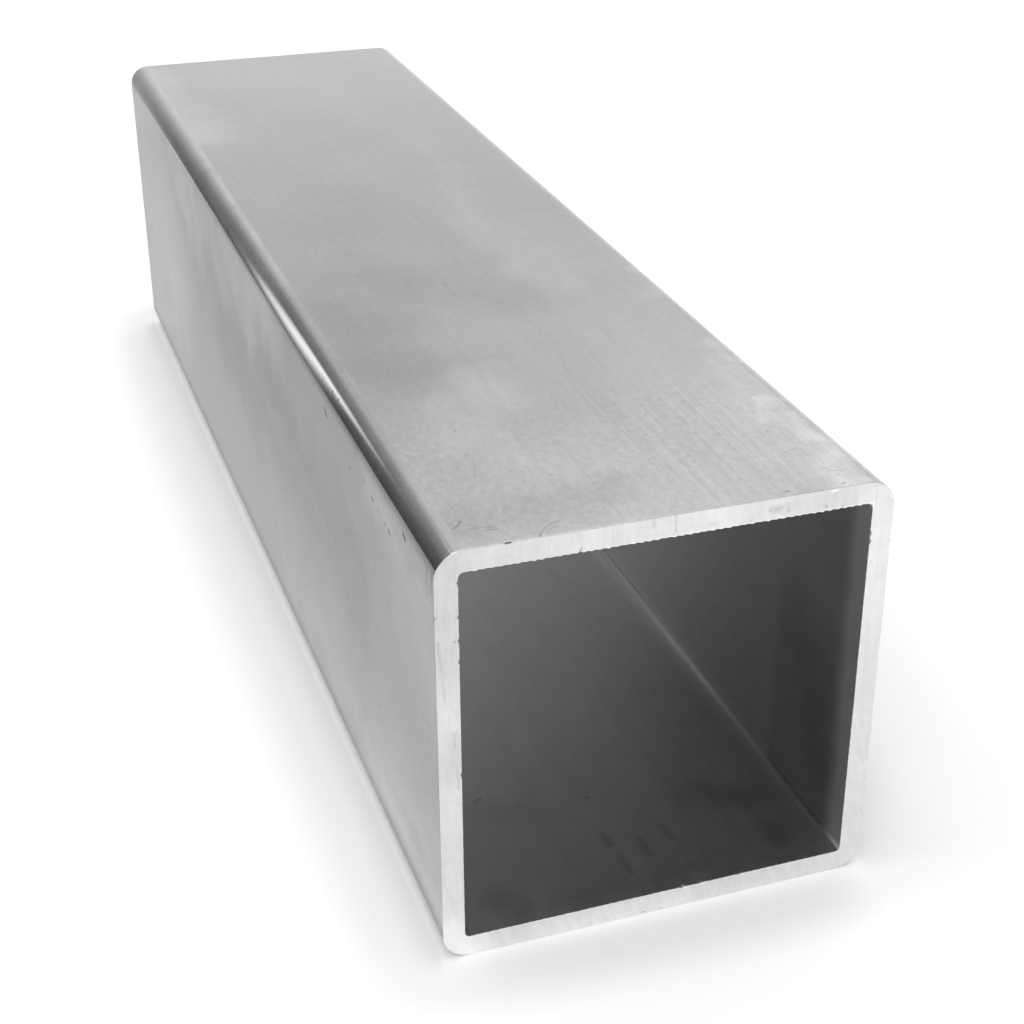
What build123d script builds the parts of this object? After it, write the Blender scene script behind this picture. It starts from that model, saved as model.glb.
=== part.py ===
from build123d import *

import os

# Square aluminium tube: one extruded length, sawn square at both ends and lying on one of its flats.
# X runs across the tube, Y along it and Z up. The origin is on the ground, under the tube's middle.

# Driving sizes, in millimetres.
side = 50.0  # across the outer flats, the same both ways
wall = 2.5  # thickness of each of the four walls
bore_corner_radius = 0.6  # the small fillet that extrusion leaves along each corner of the bore
length = 195.0  # from saw cut to saw cut

# Sizes that follow from them.
bore_side = side - 2 * wall
outer_corner_radius = bore_corner_radius + wall  # about the bore fillet's centre, for an even wall


def tube_section():
    """The rounded square of the outside, less the rounded square of the bore."""
    outline = RectangleRounded(side, side, outer_corner_radius)
    bore = RectangleRounded(bore_side, bore_side, bore_corner_radius)
    return outline - bore


def square_tube():
    """The section stood upright on the ground at the tube's middle, then extruded to each saw cut."""
    middle = Plane(origin=(0, 0, side / 2), x_dir=(1, 0, 0), z_dir=(0, -1, 0))
    return extrude(middle * tube_section(), amount=length / 2, both=True)


os.makedirs("parts", exist_ok=True)
export_step(square_tube(), "parts/tube.step")
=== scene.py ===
import bpy
import math
import numpy as np
from mathutils import Matrix, Vector


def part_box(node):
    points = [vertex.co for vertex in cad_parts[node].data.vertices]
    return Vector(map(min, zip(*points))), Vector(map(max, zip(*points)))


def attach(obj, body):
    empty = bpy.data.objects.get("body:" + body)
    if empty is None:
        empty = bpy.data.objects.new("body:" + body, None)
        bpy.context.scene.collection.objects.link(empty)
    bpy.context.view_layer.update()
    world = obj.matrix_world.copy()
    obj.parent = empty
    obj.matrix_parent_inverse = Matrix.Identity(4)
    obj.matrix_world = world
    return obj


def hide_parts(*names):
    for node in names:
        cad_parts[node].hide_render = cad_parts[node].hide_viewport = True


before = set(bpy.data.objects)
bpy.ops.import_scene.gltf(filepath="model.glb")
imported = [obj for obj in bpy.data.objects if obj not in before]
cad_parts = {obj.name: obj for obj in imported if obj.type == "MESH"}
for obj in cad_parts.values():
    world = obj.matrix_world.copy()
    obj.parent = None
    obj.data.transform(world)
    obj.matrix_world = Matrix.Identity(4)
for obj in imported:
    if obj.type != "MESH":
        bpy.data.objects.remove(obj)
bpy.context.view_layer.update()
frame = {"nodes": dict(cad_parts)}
tubeLow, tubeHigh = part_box("tube")
print("frame loaded:", ", ".join(frame["nodes"]))


# ready helpers for node trees: a plain value is written on the socket, an output is linked to it
def addNode(tree, kind, values=None, **settings):
    node = tree.nodes.new("ShaderNode" + kind)
    for key, value in settings.items():
        setattr(node, key, value)
    for key, value in (values or {}).items():
        if isinstance(value, bpy.types.NodeSocket):
            tree.links.new(value, node.inputs[key])
        else:
            node.inputs[key].default_value = value
    return node


# one operation on numbers
def calc(tree, operation, *values):
    return addNode(tree, "Math", dict(enumerate(values)), operation=operation).outputs[0]


# first * second
def times(tree, first, second):
    return calc(tree, "MULTIPLY", first, second)


# one operation on vectors; a dot product or a distance comes out as a number
def vectorCalc(tree, operation, first, second):
    values = {0: first, 3 if operation == "SCALE" else 1: second}
    node = addNode(tree, "VectorMath", values, operation=operation)
    return node.outputs[1 if operation in ("DOT_PRODUCT", "DISTANCE") else 0]


# value goes from low..high to toLow..toHigh, clamped, with soft ends
def fade(tree, value, low, high, toLow=0.0, toHigh=1.0, kind="SMOOTHSTEP"):
    values = {"Value": value, "From Min": low, "From Max": high, "To Min": toLow, "To Max": toHigh}
    return addNode(tree, "MapRange", values, interpolation_type=kind).outputs["Result"]


# noise of the place, first scaled on each axis, turned to run from -1 to 1
def grain(tree, place, scales, detail=2.0, roughness=0.5, seed=0.0):
    shift = (seed, seed * 1.7, seed * 2.3)
    moved = addNode(tree, "Mapping", {"Vector": place, "Location": shift, "Scale": scales})
    values = {"Vector": moved.outputs[0], "Scale": 1.0, "Detail": detail, "Roughness": roughness}
    noise = addNode(tree, "TexNoise", values)
    return fade(tree, noise.outputs[0], 0.25, 0.75, -1.0, 1.0, "LINEAR")


# mask of a short mark: distance from the place to the bowed line from start to end, faded over its width
def markGroup():
    tree = bpy.data.node_groups.new("mark", "ShaderNodeTree")
    sockets = {"place": "Vector", "start": "Vector", "end": "Vector", "bow": "Vector", "width": "Float"}
    for name, kind in sockets.items():
        tree.interface.new_socket(name, in_out="INPUT", socket_type="NodeSocket" + kind)
    tree.interface.new_socket("mask", in_out="OUTPUT", socket_type="NodeSocketFloat")
    given = tree.nodes.new("NodeGroupInput").outputs
    result = tree.nodes.new("NodeGroupOutput").inputs
    line = vectorCalc(tree, "SUBTRACT", given["end"], given["start"])
    away = vectorCalc(tree, "SUBTRACT", given["place"], given["start"])
    onLine = vectorCalc(tree, "DOT_PRODUCT", away, line)
    part = calc(tree, "DIVIDE", onLine, vectorCalc(tree, "DOT_PRODUCT", line, line))
    part = fade(tree, part, 0.0, 1.0, kind="LINEAR")
    rise = times(tree, times(tree, part, calc(tree, "SUBTRACT", 1.0, part)), 4.0)
    sideways = vectorCalc(tree, "SCALE", given["bow"], rise)
    bowed = vectorCalc(tree, "ADD", vectorCalc(tree, "SCALE", line, part), sideways)
    gap = vectorCalc(tree, "DISTANCE", away, bowed)
    tree.links.new(fade(tree, gap, 0.0, given["width"], 1.0, 0.0), result["mask"])
    return tree


markTree = markGroup()


# strongest of a list of marks at every place: each is start, end, bow, width, strength, in millimetres
def marks(tree, place, rows):
    total = None
    for start, end, bow, width, strength in rows:
        values = {"place": place, "start": start, "end": end, "bow": bow, "width": width}
        mark = addNode(tree, "Group", values, node_tree=markTree)
        mask = times(tree, mark.outputs[0], strength)
        total = mask if total is None else calc(tree, "MAXIMUM", total, mask)
    return total


# tube: lengths in millimetres
tube = {
    "side": (tubeHigh[0] - tubeLow[0]) * 1000,
    "length": (tubeHigh[1] - tubeLow[1]) * 1000,
    "wall": 2.5,
    "boreRadius": 0.6,
    "stepsPerSide": 330,
    "stepsPerBend": 16,
    "edgeEase": 0.08,          # the saw leaves the outer edges this far from sharp
    "sawDepth": 0.03,          # the saw's ridges stand between the full length and this much less
    "sawShares": (0.4, 0.35, 0.25),           # of that depth: tooth ripple, finer wave, slower wave
    "sawPitches": (0.27, 2.1),                # of the finer and the slower wave
    "sawFade": 1.2,            # the ridges fade out this far behind the cut
    "bladeRadius": 190,
    "bladeTop": 49.0,          # height at which the blade's arcs stand upright
    "toothPitch": 0.87,
    "toothRise": 0.75,         # share of a tooth over which a scallop grows
    "toothDrift": 0.15,        # teeth by which the scallops wander from an even pitch
    "toothSizes": (0.45, 1.0),
    "toothDepth": (0.17, 0.05, 0.07, 0.05),   # of the scallops on the bore's rim: top, right, bottom, left
    # x and z of the middle on the near cut, reach, and the push along x, y and z
    "dents": [
        (-25.0, 42.7, 0.45, 0.15, 0.2, 0.0),
        (-9.95, 47.5, 0.22, 0.0, 0.0, 0.16),
        (22.5, 43.8, 0.4, 0.2, 0.0, 0.0),
        (22.5, 42.9, 0.45, 0.2, 0.0, 0.0),
        (-22.5, 46.4, 0.3, -0.14, 0.05, 0.0),
        (-22.5, 42.6, 0.3, -0.12, 0.05, 0.0),
        (-22.5, 39.9, 0.35, -0.12, 0.05, 0.0),
        (-22.5, 37.4, 0.3, -0.1, 0.05, 0.0),
        (-22.5, 23.8, 0.35, -0.12, 0.05, 0.0),
        (3.0, 2.5, 0.5, 0.0, 0.05, -0.15),
        (5.0, 2.5, 0.5, 0.0, 0.05, -0.12),
        (10.0, 2.5, 0.5, 0.0, 0.05, -0.12),
        (-1.7, 0.0, 0.45, 0.0, 0.2, 0.14),
        (0.4, 0.0, 0.5, 0.0, 0.16, 0.12),
        (7.2, 0.0, 0.35, 0.0, 0.14, 0.1),
        (24.9, 43.0, 0.4, -0.12, 0.12, 0.0),
    ],
}


# a point walks round a square; along a side its normal stands still, and at a corner it waits
# while the normal swings through a quarter turn
def walkSquare(halfCore, stepsPerSide, stepsPerBend):
    corners, normals = [], []
    along = np.linspace(-1.0, 1.0, stepsPerSide, endpoint=False)
    swing = np.linspace(0.0, math.pi / 2, stepsPerBend, endpoint=False)
    for quarter in range(4):
        facing = math.pi / 2 - quarter * math.pi / 2
        outward = np.array([math.cos(facing), math.sin(facing)])
        onward = np.array([math.sin(facing), -math.cos(facing)])
        corners.append(halfCore * (outward + np.outer(along, onward)))
        normals.append(np.tile(outward, (stepsPerSide, 1)))
        corners.append(np.tile(halfCore * (outward + onward), (stepsPerBend, 1)))
        normals.append(np.column_stack([np.cos(facing - swing), np.sin(facing - swing)]))
    return np.vstack(corners), np.vstack(normals)


# smooth random wave: random heights at whole steps, joined by half cosines, between -1 and 1
def wave(position, pitch, seed):
    heights = np.random.default_rng(seed).uniform(-1.0, 1.0, 1024)
    step = np.floor(position / pitch).astype(int)
    blend = 0.5 - 0.5 * np.cos(math.pi * (position / pitch - step))
    return heights[step % len(heights)] * (1 - blend) + heights[(step + 1) % len(heights)] * blend


# a blade mark is an arc of the saw's radius; this is how far across the cut the arc through a point stands
# upright: plus or minus x, less the fall from there squared over twice the radius
def arcAcross(x, z, mirror):
    return mirror * x - (tube["bladeTop"] - z) ** 2 / (2 * tube["bladeRadius"])


# depth of the saw marks under the full length: shares of a tooth ripple, a finer and a slower wave along
# arcAcross, each between 0 and 1; the 100 keeps the place positive
def sawMarks(x, z, mirror):
    across = arcAcross(x, z, mirror) + 100
    rippleShare, fineShare, slowShare = tube["sawShares"]
    finePitch, slowPitch = tube["sawPitches"]
    ripple = 0.5 - 0.5 * np.cos(2 * math.pi * across / tube["toothPitch"])
    fine = 0.5 + 0.5 * wave(across, finePitch, 3)
    slow = 0.5 + 0.5 * wave(across, slowPitch, 4)
    return tube["sawDepth"] * (rippleShare * ripple + fineShare * fine + slowShare * slow)


# scallops on the bore's rim: over most of a tooth the metal grows inwards in a straight line, then it drops
# back; every tooth has its own size, and 0.4 centres them on the rim
def rimScallops(rim, depth, seed):
    tooth = rim / tube["toothPitch"] + tube["toothDrift"] * wave(rim, 1.7, seed)
    count = np.floor(tooth).astype(int)
    part = tooth - count
    grown = tube["toothRise"]
    shape = np.where(part < grown, part / grown, (1 - part) / (1 - grown))
    sizes = np.random.default_rng(seed + 1).uniform(*tube["toothSizes"], 512)
    return depth * (shape * sizes[count % len(sizes)] - 0.4)


# section point = core point + (outer radius - depth) * normal, carried along y; the rows run along the
# outside, across the far cut, back through the bore and across the near cut, and close on themselves
def tubeSurface():
    outerRadius = tube["wall"] + tube["boreRadius"]
    core, normal = walkSquare(tube["side"] / 2 - outerRadius, tube["stepsPerSide"], tube["stepsPerBend"])
    cols = core.shape[0]
    half, wall, ease = tube["length"] / 2, tube["wall"], tube["edgeEase"]
    sidePart = np.repeat(np.arange(4), cols // 4)
    step = np.tile(np.arange(cols // 4), 4)
    fromFillet = np.minimum(step, tube["stepsPerSide"] - step)     # the scallops fade over four steps
    depth = np.array(tube["toothDepth"])[sidePart] * np.clip(fromFillet / 4, 0, 1)
    rim = np.cumsum(np.r_[0, np.hypot(*np.diff(core + tube["boreRadius"] * normal, axis=0).T)])
    # each row: distance in from the cut, depth under the outside, how much of the scallops it carries, and
    # its zone: 0 outside, 1 bore, 2 cut
    turn = np.radians([0, 30, 60])
    outer = [(s, 0.0, 0.0, 0) for s in (80, 40, 14, 4, 1.2, 0.35)]
    outer += [(ease * (1 - math.sin(a)), ease * (1 - math.cos(a)), 0.0, 0) for a in turn]
    cut = [(0.0, d, 0.0, 2) for d in np.linspace(ease, wall - 0.12, 14)]
    cut += [(0.008, wall - 0.05, 0.6, 2), (0.04, wall, 1.0, 2), (0.1, wall, 1.0, 1), (0.25, wall, 0.55, 1)]
    inside = [(0.45, wall, 0.2, 1)] + [(s, wall, 0.0, 1) for s in (0.8, 2.2, 6, 16, 45, 90)]
    ring = np.array(outer + cut + inside)
    rows = np.vstack([ring, ring[::-1]])
    end = np.r_[np.ones(len(ring)), -np.ones(len(ring))]
    inward, under, share = rows[:, 0], rows[:, 1], rows[:, 2]
    # the two rims are out of step, each with its own teeth
    farLip, nearLip = rimScallops(rim, depth, 21), rimScallops(rim + 0.3, depth, 11)
    lip = np.where(end[:, None] > 0, farLip[None], nearLip[None])
    outOfCore = outerRadius - under[:, None] - share[:, None] * lip
    section = core[None] + outOfCore[..., None] * normal[None]
    x, z = section[..., 0], section[..., 1] + tube["side"] / 2
    sunk = np.where(end[:, None] > 0, sawMarks(x, z, -1), sawMarks(x, z, 1))
    fall = np.clip(1 - inward / tube["sawFade"], 0, 1)[:, None]
    y = end[:, None] * (half - inward[:, None] - sunk * fall)
    # dents: inside its reach the metal moves by (1 - (distance / reach)^2)^2 of the push
    near = (end < 0)[:, None]
    for dx, dz, reach, pushX, pushY, pushZ in tube["dents"]:
        gap = ((x - dx) ** 2 + (z - dz) ** 2 + (y + half) ** 2) / reach ** 2
        move = np.where(near, np.clip(1 - gap, 0, 1) ** 2, 0)
        x, y, z = x + pushX * move, y + pushY * move, z + pushZ * move
    # the left side and the bend above it are zone 3, because they carry other marks
    zone = np.repeat(rows[:, 3:4].astype(int), cols, axis=1)
    zone = np.where((zone == 0) & (sidePart == 3)[None], 3, zone)
    # away from the edges the shading normal is the section's own: outwards outside, inwards in the bore
    facing = np.where(under == 0, 1.0, -1.0) * ((share == 0) & (inward > ease) & (rows[:, 3] != 2))
    shading = np.zeros(x.shape + (3,))
    shading[..., [0, 2]] = facing[:, None, None] * normal[None]
    return np.stack([x, y, z], axis=-1) / 1000, zone, shading


# quads join each row to the next and each column to the next, both ways round; where a shading normal is
# given it is kept, elsewhere it is the mean of the quads around the vertex
def closedGridMesh(name, points, zone, shading):
    rows, cols = points.shape[:2]
    index = np.arange(rows * cols).reshape(rows, cols)
    nextRow = np.roll(index, -1, axis=0)
    quads = np.stack([index, np.roll(index, -1, axis=1), np.roll(nextRow, -1, axis=1), nextRow], axis=-1)
    mesh = bpy.data.meshes.new(name)
    mesh.from_pydata(points.reshape(-1, 3).tolist(), [], quads.reshape(-1, 4).tolist())
    mesh.polygons.foreach_set("material_index", zone.ravel().astype(np.int32))
    mesh.polygons.foreach_set("use_smooth", np.ones(rows * cols, dtype=bool))
    mesh.update()
    shading = shading.reshape(-1, 3)
    given = np.abs(shading).sum(axis=1, keepdims=True) > 0
    found = np.empty(shading.size, dtype=np.float32)
    mesh.vertex_normals.foreach_get("vector", found)
    mesh.normals_split_custom_set_from_vertices(np.where(given, shading, found.reshape(-1, 3)).tolist())
    return mesh


points, zone, shading = tubeSurface()
mesh = closedGridMesh("squareTube", points, zone, shading)
squareTube = bpy.data.objects.new("squareTube", mesh)
bpy.context.scene.collection.objects.link(squareTube)
print("tube surface:", len(mesh.polygons) * 2, "triangles")


# metal without marks; edgeTint dims what it mirrors at grazing angles, and the place is in millimetres
def newMetal(name, edgeTint):
    material = bpy.data.materials.new(name)
    material.use_nodes = True
    tree = material.node_tree
    shader = tree.nodes["Principled BSDF"]
    shader.inputs["Metallic"].default_value = 1.0
    shader.inputs["Specular Tint"].default_value = (edgeTint, edgeTint, edgeTint, 1)
    millimetres = vectorCalc(tree, "SCALE", addNode(tree, "TexCoord").outputs["Object"], 1000.0)
    return material, tree, shader, millimetres


# sum of value * amount over pairs
def mix(tree, *pairs):
    total = 0.0
    for value, amount in pairs:
        total = calc(tree, "MULTIPLY_ADD", value, amount, total)
    return total


# writes the finish: colour is brightness times one plus the shade; the height is in micrometres
def finishMetal(tree, shader, brightness, shade, roughness, height):
    lit = calc(tree, "MAXIMUM", times(tree, calc(tree, "ADD", shade, 1.0), brightness), 0.02)
    tree.links.new(calc(tree, "MINIMUM", lit, 0.98), shader.inputs["Base Color"])
    tree.links.new(calc(tree, "MAXIMUM", roughness, 0.06), shader.inputs["Roughness"])
    bump = addNode(tree, "Bump", {"Strength": 1.0, "Distance": 0.000001, "Height": height})
    tree.links.new(bump.outputs[0], shader.inputs["Normal"])


halfSide = tube["side"] / 2
halfLength = tube["length"] / 2
boreHalf = halfSide - tube["wall"]


# |x| and the height above or below the tube's middle; the larger is halfSide on the outside and boreHalf in
# the bore, and the smaller grows along a side to where its rounded corner begins, and more only past there
def fromMiddle(tree, axis, operation):
    up = calc(tree, "ABSOLUTE", calc(tree, "SUBTRACT", axis.outputs[2], halfSide))
    return calc(tree, operation, calc(tree, "ABSOLUTE", axis.outputs[0]), up)


# mill finish of the outer faces; bows, places and reaches are in millimetres
flat = (0.0, 0.0, 0.0)         # a mark without a bow
mill = {
    "brightness": 0.545,
    "roughness": 0.34,
    "cornerRoughness": 0.11,
    "edgeTint": 0.85,
    "clouds": 0.05,
    "dieLines": 0.034,
    "mottle": 0.062,
    "drift": 0.11,             # scale of the noise that the places of the soft clouds follow,
    "wander": 14.0,            # and how far they go
    "bend": (21.9, 23.2),      # the flat turns into the bend between these distances from the middle
}
topFace = {
    "name": "millTop",
    "wearAlong": (-78.0, -60.0),              # wear near the cut fades out between these places
    "cutMottle": 0.06,         # more mottling near the cut
    "edgeFlecks": 0.16,        # light flecks where the flat meets the left bend, near the cut,
    "fleckPlace": 22.0,        # this far left of the middle,
    "fleckBand": (0.2, 1.3),   # full within the first distance of that place and gone at the second
    "scoring": 0.09,           # stronger lengthwise lines near the cut, growing towards the right
    "scoringAcross": (-2.0, 8.0),
    # soft clouds on the top, partly uneven tone and partly painted reflection; the lighter ones marked below
    # are painted reflection
    "darkClouds": [
        ((-19, -34, 50), (-17, -53, 50), flat, 14, 0.14),
        ((-13, -22, 50), (3, -36, 50), flat, 13, 0.1),
        ((-19, -93, 50), (-5, -89, 50), flat, 7, 0.15),
        ((-22.5, -95.5, 50), (-18.5, -94.8, 50), flat, 2.4, 0.16),
    ],
    "lightClouds": [
        # painted highlight towards and along the right bend, near the cut
        ((19, -92, 50), (20, -66, 50), flat, 8, 0.12),
        ((22, -102, 50), (22, -77, 50), flat, 4.6, 0.38),
        ((24.2, -102, 49.2), (24.2, -30, 49.2), flat, 3.6, 0.24),
        # painted reflection, lighter towards the far end
        ((-20, 100, 50), (20, 100, 50), flat, 110, 0.18),
        ((-14, -75, 50), (-8, -61, 50), flat, 8, 0.13),
        # painted reflection, lighter at the far left
        ((-22, 50, 50), (-22, 100, 50), flat, 13, 0.3),
        ((10, -32, 50), (11, 18, 50), flat, 8, 0.1),
    ],
    "light": [
        # a painted glint on the left bend at the cut
        ((-24.0, -97.8, 49.2), (-23.3, -96.3, 49.65), flat, 0.9, 0.6),
    ],
    "dark": [
        ((2.45, -58, 50), (2.55, -97, 50), flat, 0.17, 0.12),          # two die lines
        ((-5.15, -70, 50), (-5.0, -97, 50), flat, 0.15, 0.10),
        ((-10.4, -86.4, 50), (-7.2, -86.1, 50), (0, 0.15, 0), 0.16, 0.10),   # scratches
        ((-14.1, -97.4, 50), (-11.3, -94.9, 50), (-0.35, 0.3, 0), 0.19, 0.34),
        ((-13.1, -97.0, 50), (-11.9, -96.0, 50), (-0.2, 0.3, 0), 0.17, 0.18),
        ((18.9, -93.8, 50), (20.4, -94.1, 50), (0, 0.2, 0), 0.22, 0.3),
        ((19.0, -94.6, 50), (20.2, -95.3, 50), flat, 0.2, 0.22),
        ((19.0, -96.8, 50), (19.4, -96.6, 50), flat, 0.3, 0.4),
        ((-18.8, -94.3, 50), (-17.5, -94.5, 50), flat, 0.22, 0.25),
        ((-2.4, -92.5, 50), (-4.0, -94.9, 50), (-0.3, -0.1, 0), 0.17, 0.14),
        ((-22.6, -93.3, 49.9), (-20.5, -91.9, 50), (0.2, -0.3, 0), 0.22, 0.38),
        ((-20.2, -93.6, 50), (-17.6, -94.0, 50), (0, 0.1, 0), 0.2, 0.18),
        ((-15.2, -89.7, 50), (-16.0, -91.9, 50), flat, 0.16, 0.12),
        ((16.5, -88.3, 50), (21.4, -87.4, 50), (0.1, 0.2, 0), 0.19, 0.28),
        ((18.9, -92.9, 50), (19.7, -94.9, 50), (0.3, 0, 0), 0.22, 0.34),
        ((-15.2, -79.1, 50), (-16.1, -82.8, 50), (0.1, 0, 0), 0.2, 0.12),
        ((19.1, -96.8, 50), (19.5, -96.65, 50), flat, 0.24, 0.45),     # nicks at the cut
        ((12.6, -96.5, 50), (13.1, -96.5, 50), flat, 0.24, 0.45),
        ((-17.65, -97.5, 49.98), (-17.15, -97.5, 49.98), flat, 0.26, 0.9),
        ((3.6, -25.6, 50), (3.6, -26.2, 50), flat, 0.3, 0.16),         # specks
        ((-2.9, -28.4, 50), (-2.9, -29.0, 50), flat, 0.3, 0.16),
        ((11.8, -72.3, 50), (11.8, -72.7, 50), flat, 0.25, 0.22),
        ((12.5, -79.3, 50), (12.5, -79.7, 50), flat, 0.22, 0.18),
        ((12.0, -84.2, 50), (12.0, -84.6, 50), flat, 0.22, 0.2),
        ((17.3, -82.5, 50), (17.3, -82.9, 50), flat, 0.22, 0.22),
        ((4.4, -78.9, 50), (4.4, -79.4, 50), flat, 0.22, 0.18),
        ((-6.1, -66.9, 50), (-6.1, -67.4, 50), flat, 0.25, 0.18),
        ((-14.8, -71.4, 50), (-14.8, -71.9, 50), flat, 0.25, 0.22),
        ((-15.4, -77.5, 50), (-15.4, -78.0, 50), flat, 0.22, 0.2),
    ],
}
leftFace = {
    "name": "millSide",
    "edgeFlecks": 0.0,         # no wear near the cut here
    # soft clouds, darker through the middle and lighter low down, high up and towards the far end: partly
    # uneven tone and partly painted reflection
    "darkClouds": [
        ((-25, 15, 28), (-25, -66, 27), flat, 12, 0.14),
        ((-25, -66, 33), (-25, -10, 36), flat, 8, 0.17),
    ],
    "lightClouds": [
        ((-25, -100, 9), (-25, -20, 9), flat, 8, 0.1),
        ((-25, -98, 12), (-25, -70, 10), flat, 9, 0.18),
        ((-25, -100, 34), (-25, -84, 43), flat, 13, 0.2),
        ((-25, -20, 46), (-25, 100, 45), flat, 12, 0.34),
        ((-25, 36, 45), (-25, 100, 43), flat, 15, 0.5),
        ((-25, -98, 42), (-25, -73, 45), flat, 6, 0.26),
        ((-25, 120, 36), (-25, 70, 38), flat, 40, 0.5),
    ],
    "light": [
        ((-25, -97, 6.2), (-25, -74, 6.4), flat, 3.0, 0.18),
    ],
    "dark": [
        ((-25, -98, 1.4), (-25, 98, 1.4), flat, 4.0, 0.52),              # painted shade along the lower bend
        ((-25, -53.1, 46.1), (-25, -54.1, 45.7), flat, 0.44, 0.6),    # nicks
        ((-25, -64.5, 44.0), (-25, -64.9, 44.0), flat, 0.32, 0.45),
        ((-25, -71.0, 45.6), (-25, -71.8, 45.35), flat, 0.24, 0.4),
        ((-25, -74.1, 44.9), (-25, -74.7, 44.7), flat, 0.34, 0.85),
        ((-25, -76.5, 44.6), (-25, -77.0, 44.45), flat, 0.28, 0.65),
        ((-25, -79.3, 44.4), (-25, -79.8, 44.25), flat, 0.27, 0.6),
        ((-25, -80.9, 44.3), (-25, -81.5, 44.1), flat, 0.34, 0.85),
        ((-25, -86.8, 46.85), (-25, -87.5, 46.55), flat, 0.42, 0.95),
        ((-25, -73.2, 17.9), (-25, -73.6, 17.9), flat, 0.3, 0.3),
        ((-25, -95.3, 47.6), (-25, -95.2, 44.2), flat, 0.22, 0.32),     # scratches
        ((-25, -96.9, 48.2), (-25, -96.6, 45.3), flat, 0.24, 0.36),
        ((-25, -89.4, 47.1), (-25, -94.9, 45.2), (0, 0.3, 0.4), 0.15, 0.13),
        ((-25, -65.7, 29.1), (-25, -66.4, 28.2), flat, 0.2, 0.2),
        ((-25, -74.0, 28.7), (-25, -75.3, 28.5), flat, 0.2, 0.2),
        ((-25, -90.0, 28.1), (-25, -96.2, 28.7), flat, 0.14, 0.14),
        ((-24.42, -54.9, 48.7), (-24.25, -54.5, 48.95), flat, 0.22, 0.65),   # pits on the bend
        ((-24.38, -55.9, 48.75), (-24.3, -55.7, 48.87), flat, 0.2, 0.6),
        ((-24.3, -57.3, 48.85), (-24.2, -57.1, 48.98), flat, 0.22, 0.55),
    ],
}


# shade of a face = clouds + die lines + mottle + wear + soft clouds + light marks - dark marks; the soft
# clouds are partly uneven tone and partly painted reflection and shade, the light mark on the top is a
# painted glint and the dark mark along the left side's lower bend is painted shade; the places of the soft
# clouds wander by a slow noise, and the bend is smoother than the flat
def millFinish(face):
    material, tree, shader, place = newMetal(face["name"], mill["edgeTint"])
    axis = addNode(tree, "SeparateXYZ", {0: place})
    corner = fade(tree, fromMiddle(tree, axis, "MINIMUM"), *mill["bend"])
    noise = addNode(tree, "TexNoise", {"Vector": place, "Scale": mill["drift"], "Detail": 1.0})
    drift = vectorCalc(tree, "SUBTRACT", noise.outputs["Color"], (0.5, 0.5, 0.5))
    wander = vectorCalc(tree, "ADD", place, vectorCalc(tree, "SCALE", drift, mill["wander"]))
    cloud = grain(tree, place, (0.07, 0.035, 0.07), 3.0, 0.55, 4.0)
    broadLines = grain(tree, place, (1.1, 0.008, 1.1), 1.0, 0.5, 9.0)
    fineLines = grain(tree, place, (4.5, 0.03, 4.5), 2.0, 0.6, 2.0)
    mottle = grain(tree, place, (1.2, 0.8, 1.2), 3.0, 0.75, 7.0)
    lines = mix(tree, (broadLines, 0.5), (fineLines, 0.7))
    shade = mix(tree, (cloud, mill["clouds"]), (lines, mill["dieLines"]), (mottle, mill["mottle"]))
    if face["edgeFlecks"]:
        atCut = fade(tree, axis.outputs[1], *face["wearAlong"], 1.0, 0.0)
        fromBend = calc(tree, "ABSOLUTE", calc(tree, "ADD", axis.outputs[0], face["fleckPlace"]))
        atBend = fade(tree, fromBend, *face["fleckBand"], 1.0, 0.0)
        flecks = times(tree, fade(tree, mottle, 0.05, 0.75), times(tree, atCut, atBend))
        onRight = times(tree, atCut, fade(tree, axis.outputs[0], *face["scoringAcross"]))
        scored = times(tree, onRight, fineLines)
        worn = times(tree, atCut, mottle)
        wear = ((flecks, face["edgeFlecks"]), (scored, face["scoring"]), (worn, face["cutMottle"]))
        shade = mix(tree, *wear, (shade, 1.0))
    # soft clouds: partly uneven tone and partly painted reflection and shade
    lightClouds = marks(tree, wander, face["lightClouds"])
    cloudsAndPaintedReflection = mix(tree, (lightClouds, 1.0), (marks(tree, wander, face["darkClouds"]), -1.0))
    dark = marks(tree, place, face["dark"])
    light = marks(tree, place, face["light"])
    shade = mix(tree, (shade, 1.0), (cloudsAndPaintedReflection, 1.0), (light, 1.0), (dark, -1.0))
    plain = fade(tree, corner, 0.0, 1.0, mill["roughness"], mill["cornerRoughness"], "LINEAR")
    roughness = mix(tree, (cloud, 0.02), (lines, 0.02), (dark, 0.15), (plain, 1.0))
    height = mix(tree, (lines, 0.8), (mottle, 0.15))
    finishMetal(tree, shader, mill["brightness"], shade, roughness, height)
    return material


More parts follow.
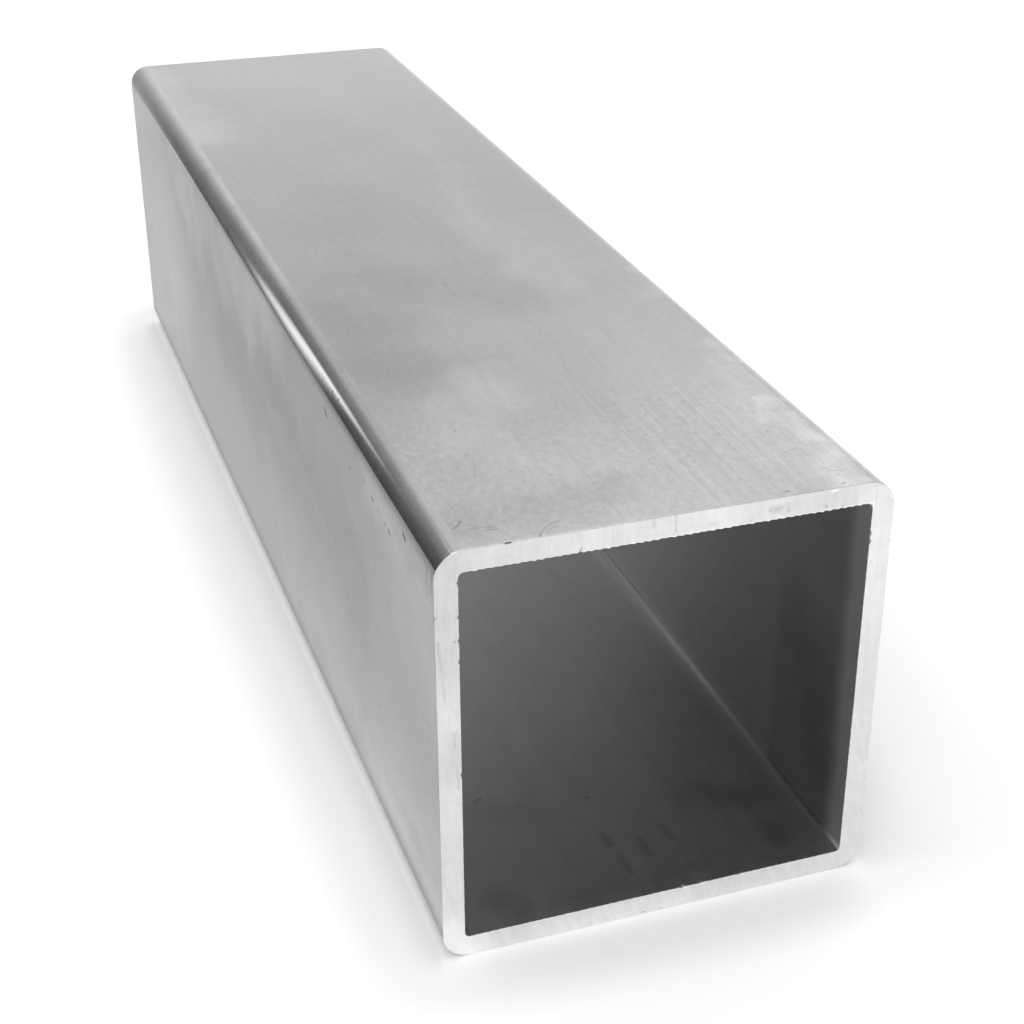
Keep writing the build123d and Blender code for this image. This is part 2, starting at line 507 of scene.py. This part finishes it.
bore = {
    # brighter than the outer faces' 0.545, which lifts the dim bore: painted light
    "brightness": 0.74,
    "roughness": 0.36,
    "filletRoughness": 0.6,
    "dieLines": 0.04,
    "mottle": 0.04,
    # fades across are by x, fades beside by the distance from the middle, and fades inward from a mouth
    "paintedFilletSheen": (0.03, 0.2),    # a painted sheen, a soft lighter band beside the fillet, at the mouth and deep inside
    "glowBeside": (20.0, 21.9),
    "glowInward": (8.0, 60.0),
    "paintedFilletLine": (-0.4, 0.5),    # and along the fillet itself a painted shade at the mouth that turns into a painted highlight deep inside
    "lineBeside": (21.7, 22.0),
    "lineInward": (8.0, 70.0),
    "paintedMouthShade": 0.16,      # painted shade towards the mouths, most on the left
    "mouthAcross": (0.0, 22.0),
    "mouthInward": (0.0, 38.0),
    "paintedRightShade": 0.25,      # painted shade towards the right wall, fading out deep inside
    "rightAcross": (2.0, 22.0),
    "rightInward": (22.0, 74.0),
    "wallShade": 0.1,          # low on the right wall near a mouth, ending in an upright line
    "wallInward": (17.8, 20.0),
    "wallUp": (20.0, 34.0),
    "paintedMouthReflection": 1.1,         # a painted reflection, a light edge where the right wall ends
    "gleamInward": (-0.5, 5.5),
    "darkClouds": [
        ((22.5, -84, 26), (22.5, -92, 10), flat, 8, 0.1),
        ((11.1, -81.8, 2.5), (16.8, -84.6, 2.5), flat, 4.5, 0.14),
        ((17.1, -90.5, 2.5), (16.9, -92.9, 2.5), flat, 3.0, 0.14),
        ((-17.2, -92.4, 2.5), (-15.6, -94.6, 2.5), flat, 3.5, 0.12),
        ((-14.5, -76.8, 2.5), (-10.1, -78.3, 2.5), flat, 4.0, 0.08),
        ((-10.8, -95.0, 2.5), (4.9, -95.0, 2.5), flat, 3.0, 0.08),
    ],
    "dark": [
        ((-2.1, -85.8, 2.5), (-2.0, -87.8, 2.5), flat, 0.8, 0.2),
        ((-1.7, -90.2, 2.5), (-1.6, -93.1, 2.5), flat, 0.8, 0.16),
        ((1.6, -87.5, 2.5), (1.6, -91.0, 2.5), flat, 0.9, 0.15),
        ((4.9, -86.4, 2.5), (5.3, -89.0, 2.5), flat, 0.8, 0.17),
        ((-14.2, -74.8, 2.5), (-13.5, -74.5, 2.5), flat, 0.5, 0.25),
        ((-1.3, -78.3, 2.5), (-1.3, -78.5, 2.5), flat, 0.5, 0.25),
        ((5.3, -89.8, 2.5), (5.4, -94.4, 2.5), flat, 0.35, 0.12),
    ],
}


# shade of the bore = die lines + mottle - marks + painted highlight and shade along the fillet + painted
# sheen beside it + painted reflection where the right wall ends - painted shades; each of the last ones is
# its amount times a fade across the bore times a fade inward
def boreFinish():
    material, tree, shader, place = newMetal("boreFinish", 1.0)
    axis = addNode(tree, "SeparateXYZ", {0: place})
    beside = fromMiddle(tree, axis, "MINIMUM")
    inward = calc(tree, "SUBTRACT", halfLength, calc(tree, "ABSOLUTE", axis.outputs[1]))
    # painted shade towards the right wall and towards the mouths
    rightSide = fade(tree, axis.outputs[0], *bore["rightAcross"])
    onRight = times(tree, rightSide, fade(tree, inward, *bore["rightInward"], 1.0, 0.0))
    leftSide = fade(tree, axis.outputs[0], *bore["mouthAcross"], 1.0, 0.2)
    atMouth = times(tree, leftSide, fade(tree, inward, *bore["mouthInward"], 1.0, 0.0))
    rightWall = fade(tree, axis.outputs[0], boreHalf - 0.3, boreHalf - 0.1)     # only on the wall itself
    # painted reflection where the right wall ends
    mouthReflection = times(tree, rightWall, fade(tree, inward, *bore["gleamInward"], 1.0, 0.0))
    nearMouth = fade(tree, inward, *bore["wallInward"], 1.0, 0.0)
    low = fade(tree, axis.outputs[2], *bore["wallUp"], 1.0, 0.0)
    lowWall = times(tree, times(tree, nearMouth, low), rightWall)
    broadLines = grain(tree, place, (0.5, 0.006, 0.5), 2.0, 0.5, 5.0)
    fineLines = grain(tree, place, (3.5, 0.02, 3.5), 2.0, 0.6, 6.0)
    mottle = grain(tree, place, (0.5, 0.3, 0.5), 4.0, 0.65, 8.0)
    lines = mix(tree, (broadLines, 0.6), (fineLines, 0.5))
    clouds = marks(tree, place, bore["darkClouds"])
    dark = marks(tree, place, bore["dark"])
    shade = mix(tree, (lines, bore["dieLines"]), (mottle, bore["mottle"]), (dark, -1.0), (clouds, -1.0))
    # painted highlight and shade along the fillet, and painted sheen beside it
    fillet = fade(tree, beside, *bore["lineBeside"])
    filletShade = times(tree, fillet, fade(tree, inward, *bore["lineInward"], *bore["paintedFilletLine"]))
    besideFillet = fade(tree, beside, *bore["glowBeside"])
    glow = times(tree, besideFillet, fade(tree, inward, *bore["glowInward"], *bore["paintedFilletSheen"]))
    shade = mix(tree, (shade, 1.0), (filletShade, 1.0), (glow, 1.0), (mouthReflection, bore["paintedMouthReflection"]))
    shade = mix(tree, (onRight, -bore["paintedRightShade"]), (atMouth, -bore["paintedMouthShade"]), (shade, 1.0))
    shade = mix(tree, (lowWall, -bore["wallShade"]), (shade, 1.0))
    plain = fade(tree, fillet, 0.0, 1.0, bore["roughness"], bore["filletRoughness"], "LINEAR")
    roughness = mix(tree, (lines, 0.03), (mottle, 0.02), (plain, 1.0))
    height = mix(tree, (lines, 1.0), (mottle, 0.6))
    finishMetal(tree, shader, bore["brightness"], shade, roughness, height)
    return material


sawn = {
    "brightness": 0.80,
    "roughness": 0.45,
    "streaks": 0.055,
    "fineStreaks": 0.03,
    "patches": 0.04,
    "paintedRimHighlight": 0.2,            # painted highlight on the burr along the top of the bore, most on the right
    "rimBand": (0.08, 0.24),   # as far out as this from the bore,
    "rimUp": (46.0, 47.2),     # hardly below this height,
    "rimAcross": (-14.0, -4.0),               # and less on the left of this
    # the clouds on the cut are painted shade and light: darker at the top left, lighter in patches
    "darkClouds": [
        ((-24, -97.5, 49), (-24, -97.5, 38), flat, 6, 0.15),
        ((-22, -97.5, 49), (-14, -97.5, 49), flat, 5, 0.06),
        ((-24, -97.5, 27), (-24, -97.5, 25), flat, 4, 0.08),
        ((24, -97.5, 26), (24, -97.5, 3), flat, 5, 0.05),
        ((9, -97.5, 49), (19, -97.5, 48.5), flat, 4, 0.07),
    ],
    "lightClouds": [
        ((3, -97.5, 49), (11, -97.5, 49), flat, 5, 0.05),
        ((24, -97.5, 47), (24, -97.5, 36), flat, 6, 0.07),
        ((-24, -97.5, 3.5), (-22, -97.5, 0.5), flat, 4, 0.2),
        ((2, -97.5, 1), (-12, -97.5, 1), flat, 4, 0.07),
    ],
    "smudges": [
        ((-2.17, -97.5, 49.7), (-2.14, -97.5, 49.0), flat, 0.4, 0.22),
        ((10.9, -97.5, 48.7), (12.2, -97.5, 48.6), flat, 0.75, 0.24),
        ((12.6, -97.5, 49.0), (12.7, -97.5, 48.3), flat, 0.4, 0.3),
        ((-17.9, -97.5, 48.5), (-17.2, -97.5, 48.4), flat, 0.6, 0.1),
        ((1.6, -97.5, 48.4), (4.6, -97.5, 48.2), flat, 0.5, 0.14),
        ((-23.2, -97.5, 29.0), (-23.3, -97.5, 25.4), flat, 0.6, 0.2),
        ((-23.0, -97.5, 24.9), (-22.9, -97.5, 22.3), flat, 0.4, 0.16),
        ((-24.7, -97.5, 40.1), (-24.1, -97.5, 32.7), flat, 0.3, 0.16),
    ],
    "dark": [
        ((-6.5, -97.5, 49.95), (-6.45, -97.5, 47.9), flat, 0.16, 0.1),     # thin lines across the top wall
        ((0.19, -97.5, 50), (0.26, -97.5, 48.0), flat, 0.19, 0.18),
        ((22.67, -97.5, 49.6), (22.88, -97.5, 47.5), flat, 0.14, 0.12),
        ((17.04, -97.5, 48.1), (17.06, -97.5, 48.05), flat, 0.22, 0.35),   # dots
        ((18.92, -97.5, 47.8), (18.94, -97.5, 47.75), flat, 0.2, 0.25),
        ((-22.99, -97.5, 39.95), (-22.99, -97.5, 39.85), flat, 0.22, 0.35),
        ((-17.65, -97.5, 49.98), (-17.15, -97.5, 49.98), flat, 0.22, 0.85),
        ((-9.75, -97.5, 48.05), (-10.0, -97.5, 47.6), flat, 0.14, 0.5),
    ],
    "light": [
        ((-12.9, -97.5, 48.6), (-12.9, -97.5, 48.3), flat, 0.3, 0.12),
        # painted glints on burrs along the top right edge
        ((17.55, -97.5, 49.7), (18.15, -97.5, 49.75), flat, 0.24, 0.3),
        ((24.7, -97.5, 48.0), (25.0, -97.5, 47.8), flat, 0.45, 0.2),
    ],
}


# shade of a cut = streaks + finer streaks + patches + painted highlight of the rim + clouds, which are
# painted shade and light, + light marks, partly painted glints, - dark marks - smudges, which the streaks
# break up; the streaks run along the blade's arcs
def sawnFinish():
    material, tree, shader, place = newMetal("sawnEnd", 1.0)
    axis = addNode(tree, "SeparateXYZ", {0: place})
    # the arcs are those of arcAcross
    fall = calc(tree, "SUBTRACT", tube["bladeTop"], axis.outputs[2])
    rise = calc(tree, "DIVIDE", times(tree, fall, fall), 2.0 * tube["bladeRadius"])
    sideways = times(tree, axis.outputs[0], calc(tree, "SIGN", axis.outputs[1]))
    across = calc(tree, "SUBTRACT", times(tree, sideways, -1.0), rise)
    path = addNode(tree, "CombineXYZ", {0: across, 1: axis.outputs[1], 2: axis.outputs[2]}).outputs[0]
    streaks = grain(tree, path, (1.7, 0.05, 0.25), 3.0, 0.65, 3.0)
    fineStreaks = grain(tree, path, (6.0, 0.05, 0.5), 1.0, 0.5, 5.0)
    patches = grain(tree, path, (0.7, 0.05, 0.7), 4.0, 0.6, 6.0)
    dark = marks(tree, place, sawn["dark"])
    light = marks(tree, place, sawn["light"])
    # clouds: painted shade and light over the cut
    lightClouds = marks(tree, place, sawn["lightClouds"])
    clouds = mix(tree, (lightClouds, 1.0), (marks(tree, place, sawn["darkClouds"]), -1.0))
    broken = fade(tree, mix(tree, (streaks, 0.6), (patches, 0.6)), -0.45, 0.35)
    smudges = times(tree, marks(tree, place, sawn["smudges"]), broken)
    # painted highlight along the top of the bore's rim
    fromRim = calc(tree, "SUBTRACT", fromMiddle(tree, axis, "MAXIMUM"), boreHalf)
    rim = fade(tree, fromRim, *sawn["rimBand"], 1.0, 0.0)
    rimHighlight = times(tree, rim, fade(tree, axis.outputs[2], *sawn["rimUp"], 0.05, 1.0))
    rimHighlight = times(tree, rimHighlight, fade(tree, axis.outputs[0], *sawn["rimAcross"], 0.25, 1.0))
    grains = ((streaks, sawn["streaks"]), (fineStreaks, sawn["fineStreaks"]), (patches, sawn["patches"]))
    shade = mix(tree, *grains)
    marked = ((rimHighlight, sawn["paintedRimHighlight"]), (clouds, 1.0), (smudges, -1.0), (dark, -1.0), (light, 1.0))
    shade = mix(tree, *marked, (shade, 1.0))
    roughness = mix(tree, (streaks, 0.05), (fineStreaks, 0.04), (sawn["roughness"], 1.0))
    height = mix(tree, (streaks, 2.5), (fineStreaks, 1.2), (patches, 1.5))
    finishMetal(tree, shader, sawn["brightness"], shade, roughness, height)
    return material


mesh.materials.append(millFinish(topFace))
mesh.materials.append(boreFinish())
mesh.materials.append(sawnFinish())
mesh.materials.append(millFinish(leftFace))
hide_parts("tube")
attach(squareTube, "root")
print("finishes done")

# camera: place and aim in metres, roll in degrees
camera = {
    "place": (-0.06673, -0.24561, 0.13533),
    "aim": (0.00437, -0.04769, 0.025),
    "roll": 0.28,
    "lens": 64.82,
    "shift": (-0.0333, -0.0008),
}


# matrix of a thing that stands at place and looks at aim: the turn first, then the move
def turnTo(place, aim):
    turn = (Vector(aim) - Vector(place)).to_track_quat("-Z", "Y")
    return Matrix.Translation(place) @ turn.to_matrix().to_4x4()


view = bpy.data.cameras.new("camera")
view.lens = camera["lens"]
view.sensor_width = 36
view.shift_x, view.shift_y = camera["shift"]
view.clip_start = 0.01
cameraObject = bpy.data.objects.new("camera", view)
bpy.context.scene.collection.objects.link(cameraObject)
roll = Matrix.Rotation(math.radians(camera["roll"]), 4, "Z")
cameraObject.matrix_world = turnTo(camera["place"], camera["aim"]) @ roll
bpy.context.scene.camera = cameraObject

# studio: directions are degrees round from the far end and up from the floor; brightness 1 is white;
# lengths are in metres, and those of the floor's added white in millimetres
studio = {
    "floorHalf": 8.0,
    "paper": 0.97,
    "paperRoughness": 0.9,
    "paperLift": 0.09,         # white added to the floor as the metal mirrors it
    "liftNear": 0.08,          # and as the camera sees it, growing away from the tube so that a shadow is painted round it: close to the tube,
    "liftFar": 0.22,           # further away,
    "liftReach": (4.0, 13.0),  # between these distances in millimetres,
    "rightReach": 0.24,        # of which only this share counts on the right, so the painted shadow reaches further there,
    "farLift": 0.8,            # and far out, so that the paper stays white there
    "farReach": (300.0, 1200.0),
    "bendShade": (0.3, 4.0),   # beside the tube it is held back, a painted shadow by the side bends, fully at the first and not past the second,
    "endShade": (0.0, 2.5),    # and less and less as far past the cuts as this
    "sky": 0.44,
    "horizon": 0.56,           # added to the sky at eye level, less and less up to this height
    "horizonHeight": 0.55,
    "lampDistance": 1.3,
    "lamps": [                # name, round, up, size, brightness
        ("front", 200, 45, 0.9, 1.8),
        ("overhead", 180, 80, 0.9, 1.15),
        ("backHigh", 5, 55, 0.9, 0.7),
        ("backRight", 45, 40, 0.9, 0.48),
        ("leftHigh", -90, 62, 0.9, 0.44),
        ("backLow", 3, 13, 0.6, 0.15),
    ],
    # cards that only the metal mirrors, from start to end along the foot and up by rise; each is a plain
    # gradient, with its brightness at the foot, the waist and the top, first at its start, then at its end
    "cards": {
        "left": {
            "start": (-0.24, 0.03, 0), "end": (-0.095, 0.27, 0), "rise": (0, 0, 0.26),
            "foot": (0.06, 0.1), "waist": (0.08, 0.28), "top": (0.5, 0.46), "waistHeight": 0.5,
        },
        "back": {
            "start": (-0.095, 0.27, 0), "end": (0, 0.33, 0), "rise": (0, 0, 0.33),
            "foot": (0.2, 1.3), "waist": (0.26, 0.8), "top": (0.7, 0.85), "waistHeight": 0.5,
        },
        "right": {
            "start": (0, 0.33, 0), "end": (0.4, 0.25, 0), "rise": (0, 0, 0.2),
            "foot": (1.0, 1.0), "waist": (0.87, 0.92), "top": (0.75, 0.85), "waistHeight": 0.5,
        },
        # a sheet lying on the floor beside the left face, dimmer than the paper: painted shade of the floor
        # as the metal mirrors it
        "mirroredFloorShade": {
            "start": (-0.03, -0.12, 0.0004), "end": (-0.03, 0.24, 0.0004), "rise": (-0.25, 0, 0),
            "foot": (0.8, 0.9), "waist": (0.5, 0.36), "top": (0.8, 0.7), "waistHeight": 0.3,
        },
    },
    # a lit gap in front of the left card: a straight-sided panel with soft edges
    "gap": {
        "start": (-0.1593, 0.1614, 0),
        "end": (-0.1056, 0.2502, 0),
        "rise": (0, 0, 0.14),
        "leftEdge": (0.4, 0.27),       # its sides at the foot and at the top, 0 to 1 along the panel
        "rightEdge": (0.66, 0.58),
        "softSide": 0.2,
        "softFoot": 0.4,
        "softTop": 0.2,
        "brightness": 1.6,
    },
}


# one quad between four corners, with a material of its own
def flatMesh(name, corners):
    sheet = bpy.data.meshes.new(name)
    sheet.from_pydata([tuple(corner) for corner in corners], [], [(0, 1, 2, 3)])
    sheetObject = bpy.data.objects.new(name, sheet)
    bpy.context.scene.collection.objects.link(sheetObject)
    material = bpy.data.materials.new(name)
    material.use_nodes = True
    sheet.materials.append(material)
    return material.node_tree


# white seen by the camera = lift * (1 - shade under a bend) + far lift, and the lift grows with the distance
# to the tube's outline, the root of beside squared plus before squared; so a shadow is painted round the
# tube, deepest just beside the side bends and reaching further on the right; the metal mirrors one white all
# over
def paperFloor():
    reach = studio["floorHalf"]
    corners = [(-reach, -reach, 0), (reach, -reach, 0), (reach, reach, 0), (-reach, reach, 0)]
    tree = flatMesh("floor", corners)
    shader = tree.nodes["Principled BSDF"]
    shader.inputs["Base Color"].default_value = (studio["paper"],) * 3 + (1,)
    shader.inputs["Roughness"].default_value = studio["paperRoughness"]
    shader.inputs["Specular IOR Level"].default_value = 0.0
    shader.inputs["Emission Color"].default_value = (1, 1, 1, 1)
    millimetres = vectorCalc(tree, "SCALE", addNode(tree, "TexCoord").outputs["Object"], 1000.0)
    axis = addNode(tree, "SeparateXYZ", {0: millimetres})
    onLeft = calc(tree, "SUBTRACT", -halfSide, axis.outputs[0])
    onRight = times(tree, calc(tree, "SUBTRACT", axis.outputs[0], halfSide), studio["rightReach"])
    beside = calc(tree, "MAXIMUM", calc(tree, "MAXIMUM", onLeft, onRight), 0.0)
    pastEnd = calc(tree, "SUBTRACT", calc(tree, "ABSOLUTE", axis.outputs[1]), halfLength)
    before = calc(tree, "MAXIMUM", pastEnd, 0.0)
    away = calc(tree, "SQRT", mix(tree, (beside, beside), (before, before)))
    # the white held back beside the side bends and the lower white close to the tube paint a shadow round it
    shadeIn = fade(tree, beside, 0.0, studio["bendShade"][0])
    paintedBendShadow = times(tree, shadeIn, fade(tree, beside, *studio["bendShade"], 1.0, 0.0))
    paintedBendShadow = times(tree, paintedBendShadow, fade(tree, before, *studio["endShade"], 1.0, 0.0))
    lift = fade(tree, away, *studio["liftReach"], studio["liftNear"], studio["liftFar"])
    lift = times(tree, lift, calc(tree, "SUBTRACT", 1.0, paintedBendShadow))
    lift = calc(tree, "ADD", lift, fade(tree, away, *studio["farReach"], 0.0, studio["farLift"]))
    ray = addNode(tree, "LightPath")
    mirrored = calc(tree, "MAXIMUM", ray.outputs["Is Glossy Ray"], ray.outputs["Is Transmission Ray"])
    seen = mix(tree, (ray.outputs["Is Camera Ray"], lift), (mirrored, studio["paperLift"]))
    tree.links.new(seen, shader.inputs["Emission Strength"])


# unit vector: sine and cosine of the way round, both times the cosine of the height, and the height's sine
def direction(around, up):
    around, up = math.radians(around), math.radians(up)
    return Vector((math.sin(around) * math.cos(up), math.cos(around) * math.cos(up), math.sin(up)))


# square lamp aimed at the tube; its power, brightness * pi * area, makes its own face that bright
def addLamp(name, around, up, size, brightness):
    light = bpy.data.lights.new(name, "AREA")
    light.size = size
    light.energy = brightness * math.pi * size * size
    lamp = bpy.data.objects.new(name, light)
    bpy.context.scene.collection.objects.link(lamp)
    lamp.matrix_world = turnTo(direction(around, up) * studio["lampDistance"], (0, 0, 0.02))
    lamp.visible_camera = False


# straight from the first of a pair to the second
def between(pair, part):
    return pair[0] + part * (pair[1] - pair[0])


# brightness over a card: straight along the foot, the waist and the top, and straight up between them
def cardGlow(card):
    along, up = np.meshgrid(np.linspace(0, 1, 41), np.linspace(0, 1, 41))
    foot, waist, top = [between(card[key], along) for key in ("foot", "waist", "top")]
    below = between((foot, waist), up / card["waistHeight"])
    above = between((waist, top), (up - card["waistHeight"]) / (1 - card["waistHeight"]))
    return np.where(up < card["waistHeight"], below, above)


# brightness over the lit gap: its full brightness times one ramp for each of its four edges
def gapGlow(gap):
    along, up = np.meshgrid(np.linspace(0, 1, 61), np.linspace(0, 1, 61))
    left = np.clip((along - between(gap["leftEdge"], up)) / gap["softSide"] + 0.5, 0, 1)
    right = np.clip((between(gap["rightEdge"], up) - along) / gap["softSide"] + 0.5, 0, 1)
    foot = np.clip(up / gap["softFoot"], 0, 1)
    top = np.clip((1 - up) / gap["softTop"], 0, 1)
    return gap["brightness"] * left * right * foot * top


# emission that follows the sheet's own "glow"; a clear one adds it to what shows through
def cardMaterial(name, clear):
    material = bpy.data.materials.new(name)
    material.use_nodes = True
    tree = material.node_tree
    tree.nodes.remove(tree.nodes["Principled BSDF"])
    glow = addNode(tree, "Attribute", attribute_name="glow").outputs["Fac"]
    shining = addNode(tree, "Emission", {"Strength": glow}).outputs[0]
    if clear:
        seeThrough = addNode(tree, "BsdfTransparent").outputs[0]
        shining = addNode(tree, "AddShader", {0: shining, 1: seeThrough}).outputs[0]
    tree.links.new(shining, tree.nodes["Material Output"].inputs[0])
    material.cycles.emission_sampling = "NONE"
    return material


# a grid of points start + along * (end - start) + up * rise, each with its brightness
def addCard(name, start, end, rise, glow, material):
    rows, cols = glow.shape
    up, along = np.meshgrid(np.linspace(0, 1, rows), np.linspace(0, 1, cols), indexing="ij")
    start, end, rise = np.array(start), np.array(end), np.array(rise)
    points = start + along[..., None] * (end - start) + up[..., None] * rise
    index = np.arange(rows * cols).reshape(rows, cols)
    quads = np.stack([index[:-1, :-1], index[:-1, 1:], index[1:, 1:], index[1:, :-1]], axis=-1)
    sheet = bpy.data.meshes.new(name)
    sheet.from_pydata(points.reshape(-1, 3).tolist(), [], quads.reshape(-1, 4).tolist())
    glowValues = sheet.attributes.new("glow", "FLOAT", "POINT")
    glowValues.data.foreach_set("value", glow.ravel().astype(np.float32))
    sheet.materials.append(material)
    card = bpy.data.objects.new(name, sheet)
    bpy.context.scene.collection.objects.link(card)
    card.visible_camera = False
    card.visible_diffuse = False
    card.visible_shadow = False


# the room: even light from above, brighter towards the horizon by a soft fade over the height
def room():
    world = bpy.data.worlds.new("room")
    world.use_nodes = True
    tree = world.node_tree
    height = addNode(tree, "SeparateXYZ", {0: addNode(tree, "TexCoord").outputs["Generated"]}).outputs[2]
    atHorizon = studio["sky"] + studio["horizon"]
    strength = fade(tree, height, 0.0, studio["horizonHeight"], atHorizon, studio["sky"])
    tree.nodes["Background"].inputs["Color"].default_value = (1, 1, 1, 1)
    tree.links.new(strength, tree.nodes["Background"].inputs["Strength"])
    bpy.context.scene.world = world


paperFloor()
room()
for lampRow in studio["lamps"]:
    addLamp(*lampRow)
for name, card in studio["cards"].items():
    addCard(name, card["start"], card["end"], card["rise"], cardGlow(card), cardMaterial(name, False))
gap = studio["gap"]
addCard("gap", gap["start"], gap["end"], gap["rise"], gapGlow(gap), cardMaterial("gap", True))
bpy.context.scene.view_settings.view_transform = "Standard"
print("studio done")
